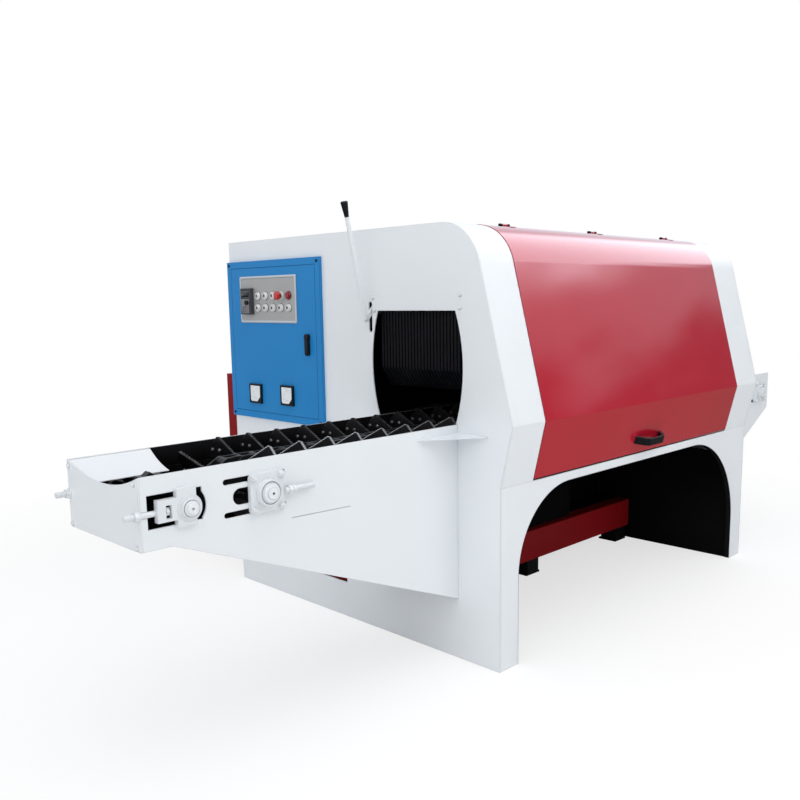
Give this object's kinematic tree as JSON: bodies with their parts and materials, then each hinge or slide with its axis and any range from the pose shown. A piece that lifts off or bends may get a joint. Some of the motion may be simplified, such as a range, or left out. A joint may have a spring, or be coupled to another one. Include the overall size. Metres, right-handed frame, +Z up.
{
  "type": "multi rip saw",
  "caption": "Floor-standing multi rip saw for round logs with a toothed chain infeed, anti-kickback fingers, hinged side cover, switch cabinet and paired saw arbors",
  "frame": {"origin": "under the middle of the whole machine, on the floor", "axes": "+Y is the feed direction from infeed to outfeed, +X the side of the red cover, +Z up"},
  "size_m": [1.977, 4.383, 1.8571],
  "materials": {
    "white_paint": "semi-gloss sprayed enamel",
    "red_paint": "gloss sprayed enamel",
    "black_paint": "matt black paint",
    "blue_paint": "satin powder coat",
    "motor_paint": "satin machine enamel",
    "grey_plate": "brushed",
    "chain_steel": "oiled dark steel",
    "bright_steel": "ground",
    "housing_iron": "painted casting",
    "belt_rubber": "matt",
    "black_plastic": "moulded",
    "grey_plastic": "moulded",
    "white_plastic": "moulded",
    "red_plastic": "moulded"
  },
  "bodies": {
    "machine": {"front_wall": "white_paint", "rear_wall": "white_paint", "hood_bands": "white_paint", "roof_panel": "white_paint", "left_wall": "white_paint", "side_skirt": "white_paint", "motor_guard": "red_paint", "base_frame": "red_paint", "machine_feet": "black_paint", "inner_walls": "black_paint", "spindle_housings": "housing_iron", "main_motors": "motor_paint", "drive_belts": "belt_rubber", "feed_gearmotors": "motor_paint", "infeed_side_plates": "white_paint", "infeed_end_plate": "white_paint", "trough_plates": "white_paint", "chain_rails": "black_paint", "outfeed_side_plates": "white_paint", "flange_bearings": "white_paint", "takeup_units": "white_paint", "cabinet_box": "blue_paint", "cover_hinges": "black_paint", "finger_blocks": "black_paint"},
    "cover": {"side_cover": "red_paint", "cover_handle": "black_plastic", "hinge_leaves": "black_paint"},
    "door": {"cabinet_door": "blue_paint", "control_plate": "grey_plate", "keypad": "grey_plastic", "panel_meters": "black_plastic", "pilot_lamps": "white_plastic"},
    "keypad_dial": {"keypad_knob": "black_plastic"},
    "door_grip": {"door_handle": "black_plastic"},
    "stop_head": {"emergency_stop": "red_plastic"},
    "red_cap": {"red_button": "red_plastic"},
    "cap_1": {"push_button_1": "white_plastic"},
    "cap_2": {"push_button_2": "white_plastic"},
    "cap_3": {"push_button_3": "white_plastic"},
    "cap_4": {"push_button_4": "white_plastic"},
    "cap_5": {"push_button_5": "white_plastic"},
    "finger_lift": {"finger_lever": "white_paint", "lever_knob": "black_plastic", "kickback_fingers": "black_paint"},
    "upper_spindle": {"upper_arbor": "bright_steel", "upper_blades": "bright_steel"},
    "lower_spindle": {"lower_arbor": "bright_steel", "lower_blades": "bright_steel"},
    "front_rotor": {"front_motor_rotor": "bright_steel"},
    "rear_rotor": {"rear_motor_rotor": "bright_steel"},
    "nose_wheel": {"nose_shaft": "chain_steel"},
    "infeed_upper": {"infeed_top_run": "chain_steel"},
    "infeed_lower": {"infeed_return_run": "chain_steel"},
    "infeed_tail": {"infeed_tail_shaft": "chain_steel"},
    "infeed_head": {"infeed_head_shaft": "chain_steel"},
    "outfeed_upper": {"outfeed_top_run": "chain_steel"},
    "outfeed_lower": {"outfeed_return_run": "chain_steel"},
    "outfeed_inner": {"outfeed_inner_shaft": "chain_steel"},
    "outfeed_end": {"outfeed_end_shaft": "chain_steel"}
  },
  "joints": [
    {"name": "cover_swing", "type": "hinge", "parent": "machine", "child": "cover", "pos_m": [0.61701, 0.2895, 1.758], "axis": [0, -1, 0], "range_deg": [0, 95]},
    {"name": "door_swing", "type": "hinge", "parent": "machine", "child": "door", "pos_m": [-0.80447, -0.8065, 1.267], "axis": [0, 0, -1], "range_deg": [0, 110]},
    {"name": "dial_turn", "type": "hinge", "parent": "door", "child": "keypad_dial", "pos_m": [-0.64137, -0.8285, 1.4527], "axis": [0, -1, 0], "range_deg": [-140, 140]},
    {"name": "door_handle_turn", "type": "hinge", "parent": "door", "child": "door_grip", "pos_m": [-0.20022, -0.8145, 1.293], "axis": [0, -1, 0], "range_deg": [0, 90]},
    {"name": "stop_press", "type": "slide", "parent": "door", "child": "stop_head", "axis": [0, 1, 0], "range_m": [0, 0.006], "stiffness_N_per_m": 900},
    {"name": "red_press", "type": "slide", "parent": "door", "child": "red_cap", "axis": [0, 1, 0], "range_m": [0, 0.004], "stiffness_N_per_m": 400},
    {"name": "button_1_press", "type": "slide", "parent": "door", "child": "cap_1", "axis": [0, 1, 0], "range_m": [0, 0.004], "stiffness_N_per_m": 400},
    {"name": "button_2_press", "type": "slide", "parent": "door", "child": "cap_2", "axis": [0, 1, 0], "range_m": [0, 0.004], "stiffness_N_per_m": 400},
    {"name": "button_3_press", "type": "slide", "parent": "door", "child": "cap_3", "axis": [0, 1, 0], "range_m": [0, 0.004], "stiffness_N_per_m": 400},
    {"name": "button_4_press", "type": "slide", "parent": "door", "child": "cap_4", "axis": [0, 1, 0], "range_m": [0, 0.004], "stiffness_N_per_m": 400},
    {"name": "button_5_press", "type": "slide", "parent": "door", "child": "cap_5", "axis": [0, 1, 0], "range_m": [0, 0.004], "stiffness_N_per_m": 400},
    {"name": "finger_lift_turn", "type": "hinge", "parent": "machine", "child": "finger_lift", "pos_m": [0.47103, -0.7545, 1.444], "axis": [1, 0, 0], "range_deg": [0, 20]},
    {"name": "upper_arbor_spin", "type": "hinge", "parent": "machine", "child": "upper_spindle", "pos_m": [0.47103, 0.2095, 1.405], "axis": [1, 0, 0], "continuous": true},
    {"name": "lower_arbor_spin", "type": "hinge", "parent": "machine", "child": "lower_spindle", "pos_m": [0.47103, 0.3895, 0.965], "axis": [1, 0, 0], "continuous": true},
    {"name": "front_motor_spin", "type": "hinge", "parent": "machine", "child": "front_rotor", "pos_m": [-0.12547, -0.3105, 0.465], "axis": [1, 0, 0], "continuous": true},
    {"name": "rear_motor_spin", "type": "hinge", "parent": "machine", "child": "rear_rotor", "pos_m": [-0.12547, 0.9295, 0.465], "axis": [1, 0, 0], "continuous": true},
    {"name": "nose_spin", "type": "hinge", "parent": "machine", "child": "nose_wheel", "pos_m": [0.47103, -1.9915, 0.857], "axis": [1, 0, 0], "continuous": true},
    {"name": "infeed_feed", "type": "slide", "parent": "machine", "child": "infeed_upper", "axis": [0, 1, 0], "range_m": [0, 0.0635]},
    {"name": "infeed_return", "type": "slide", "parent": "machine", "child": "infeed_lower", "axis": [0, -1, 0], "range_m": [0, 0.0635]},
    {"name": "infeed_tail_turn", "type": "hinge", "parent": "machine", "child": "infeed_tail", "pos_m": [0.47103, -1.7125, 0.857], "axis": [-1, 0, 0], "range_deg": [0, 60]},
    {"name": "infeed_head_turn", "type": "hinge", "parent": "machine", "child": "infeed_head", "pos_m": [0.47103, -0.125, 0.857], "axis": [-1, 0, 0], "range_deg": [0, 60]},
    {"name": "outfeed_feed", "type": "slide", "parent": "machine", "child": "outfeed_upper", "axis": [0, 1, 0], "range_m": [0, 0.0635]},
    {"name": "outfeed_return", "type": "slide", "parent": "machine", "child": "outfeed_lower", "axis": [0, -1, 0], "range_m": [0, 0.0635]},
    {"name": "outfeed_inner_turn", "type": "hinge", "parent": "machine", "child": "outfeed_inner", "pos_m": [0.47103, 0.833, 0.857], "axis": [-1, 0, 0], "range_deg": [0, 60]},
    {"name": "outfeed_end_turn", "type": "hinge", "parent": "machine", "child": "outfeed_end", "pos_m": [0.47103, 2.0395, 0.857], "axis": [-1, 0, 0], "range_deg": [0, 60]}
  ],
  "couplings": [
    {"joint": "front_motor_spin", "follows": "upper_arbor_spin", "ratio": 0.58848},
    {"joint": "rear_motor_spin", "follows": "lower_arbor_spin", "ratio": 0.58848},
    {"joint": "infeed_return", "follows": "infeed_feed", "ratio": 1},
    {"joint": "infeed_tail_turn", "follows": "infeed_feed", "rad_per_m": 16.491},
    {"joint": "infeed_head_turn", "follows": "infeed_feed", "rad_per_m": 16.491},
    {"joint": "outfeed_return", "follows": "outfeed_feed", "ratio": 1},
    {"joint": "outfeed_inner_turn", "follows": "outfeed_feed", "rad_per_m": 16.491},
    {"joint": "outfeed_end_turn", "follows": "outfeed_feed", "rad_per_m": 16.491}
  ]
}
